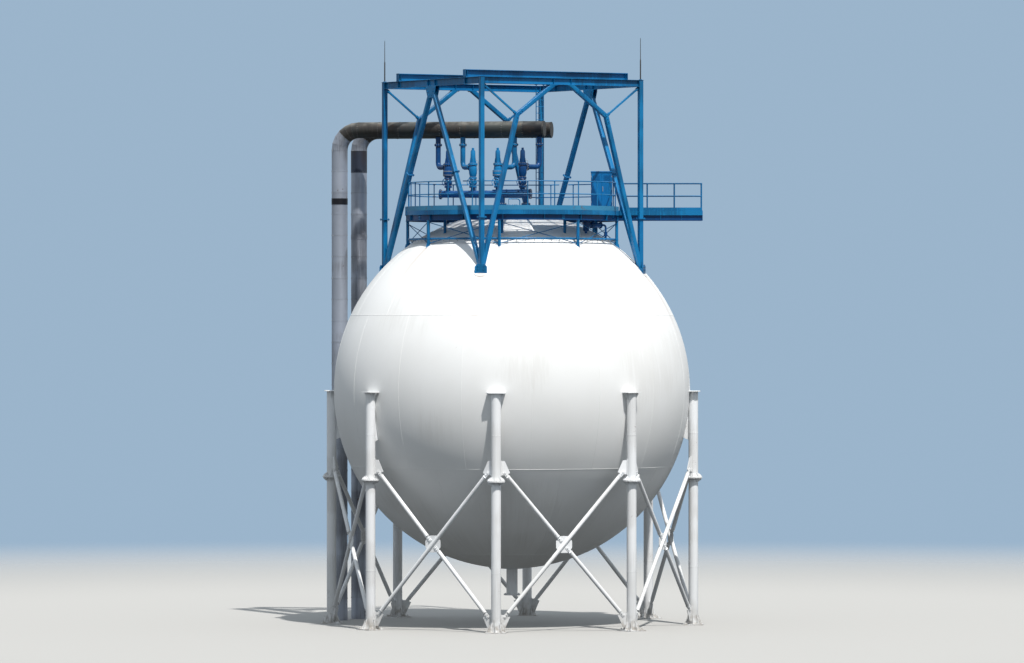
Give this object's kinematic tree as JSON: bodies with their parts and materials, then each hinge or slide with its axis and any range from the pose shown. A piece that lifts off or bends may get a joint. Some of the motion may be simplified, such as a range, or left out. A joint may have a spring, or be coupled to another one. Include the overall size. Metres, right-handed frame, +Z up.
{
  "type": "spherical gas tank",
  "caption": "Steel pressure sphere on braced tubular columns, with a round crown platform, a hoist gantry, relief valves and vent headers with risers.",
  "frame": {"origin": "on the ground under the centre of the sphere", "axes": "+Z up, -Y towards the viewer of the picture, +X to the right, along the walkway stub"},
  "size_m": [17.234, 17.234, 26.3],
  "materials": {
    "shell_paint": "white satin paint, chalky, faint rain streaks",
    "column_paint": "white satin paint with dust and a little rust",
    "gantry_paint": "mid blue gloss paint, faded and chipped",
    "deck_paint": "mid blue paint, worn on the walking faces",
    "valve_paint": "dark blue gloss paint, grimy",
    "pipe_cladding": "weathered metal cladding with rust-brown and green stains"
  },
  "bodies": {
    "root": {"crown_cap": "shell_paint", "upper_zone": "shell_paint", "equator_zone": "shell_paint", "lower_zone": "shell_paint", "bottom_cap": "shell_paint", "column_1": "column_paint", "column_2": "column_paint", "column_3": "column_paint", "column_4": "column_paint", "column_5": "column_paint", "column_6": "column_paint", "column_7": "column_paint", "column_8": "column_paint", "cross_brace_1": "column_paint", "cross_brace_2": "column_paint", "cross_brace_3": "column_paint", "cross_brace_4": "column_paint", "cross_brace_5": "column_paint", "cross_brace_6": "column_paint", "cross_brace_7": "column_paint", "cross_brace_8": "column_paint", "riser_bracket": "column_paint", "bottom_nozzle": "column_paint", "gantry_post_front": "gantry_paint", "gantry_post_right": "gantry_paint", "gantry_post_back": "gantry_paint", "gantry_post_left": "gantry_paint", "a_frame_front_left": "gantry_paint", "a_frame_back_right": "gantry_paint", "knee_leg_1": "gantry_paint", "knee_leg_2": "gantry_paint", "knee_leg_3": "gantry_paint", "knee_leg_4": "gantry_paint", "top_beam_front_right": "gantry_paint", "top_beam_back_left": "gantry_paint", "top_beam_front_left": "gantry_paint", "top_beam_back_right": "gantry_paint", "runway_beam_front": "gantry_paint", "runway_beam_back": "gantry_paint", "platform_frame": "gantry_paint", "platform_rail_back": "gantry_paint", "platform_rail_front": "gantry_paint", "hoist_ladder": "gantry_paint", "walkway_rail_front": "gantry_paint", "walkway_rail_back": "gantry_paint", "control_cabinet": "gantry_paint", "platform_deck": "deck_paint", "walkway_span": "deck_paint", "crown_manifold": "valve_paint", "relief_valve_1": "valve_paint", "relief_valve_2": "valve_paint", "relief_valve_3": "valve_paint", "relief_valve_4": "valve_paint", "vent_header_front": "pipe_cladding", "vent_header_back": "pipe_cladding"}
  },
  "joints": []
}
